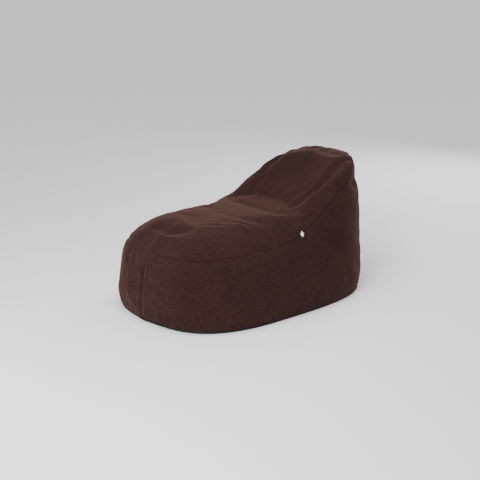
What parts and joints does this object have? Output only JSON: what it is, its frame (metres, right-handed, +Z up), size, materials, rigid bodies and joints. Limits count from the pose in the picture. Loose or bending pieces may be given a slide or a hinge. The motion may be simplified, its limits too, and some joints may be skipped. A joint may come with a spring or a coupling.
{
  "type": "bean bag chair",
  "caption": "Low lounge bean bag chair with a domed seat rising into a scooped backrest, a flat base and a zip down the back.",
  "frame": {"origin": "middle of the footprint, on the floor under the middle of the bounding box", "axes": "+Z up, the chair faces -Y, its backrest is towards +Y, and +X is the left hand of somebody sitting in it"},
  "size_m": [0.778, 1.1622, 0.6062],
  "materials": {
    "brown_fabric": "matte woven",
    "black_fabric": "matte coated",
    "zip_tape": "matte woven",
    "nylon_coil": "satin",
    "dark_zinc": "satin",
    "badge": "satin",
    "liner_cloth": "matte",
    "white_nylon": "satin",
    "beads": "matte"
  },
  "bodies": {
    "chair": {"seat_back_panel": "brown_fabric", "left_side_panel": "brown_fabric", "right_side_panel": "brown_fabric", "base_panel": "black_fabric", "zip_tape_left": "zip_tape", "zip_tape_right": "zip_tape", "zip_coil_left": "nylon_coil", "zip_coil_right": "nylon_coil", "zip_bottom_stop": "dark_zinc", "zip_top_stop_left": "dark_zinc", "zip_top_stop_right": "dark_zinc", "badge_backing": "black_fabric", "badge_plate": "badge", "liner_left": "liner_cloth", "liner_right": "liner_cloth", "liner_zip_tape_left": "liner_cloth", "liner_zip_tape_right": "liner_cloth", "liner_zip_coil_left": "white_nylon", "liner_zip_coil_right": "white_nylon", "liner_zip_bottom_stop": "white_nylon", "liner_zip_top_stop_left": "white_nylon", "liner_zip_top_stop_right": "white_nylon", "bead_fill": "beads"},
    "slider": {"zip_slider": "dark_zinc"},
    "pull": {"zip_pull": "dark_zinc"},
    "liner_slider": {"liner_zip_slider": "white_nylon"}
  },
  "joints": [
    {"name": "zip_slide", "type": "slide", "parent": "chair", "child": "slider", "axis": [0, -0.0407, -0.9992], "range_m": [0, 0.3156]},
    {"name": "zip_pull_hinge", "type": "hinge", "parent": "slider", "child": "pull", "pos_m": [0, 0.57879, 0.46627], "axis": [1, 0, 0], "range_deg": [-2, 170]},
    {"name": "liner_zip_slide", "type": "slide", "parent": "chair", "child": "liner_slider", "axis": [0, 1, 0], "range_m": [0, 0.394]}
  ]
}
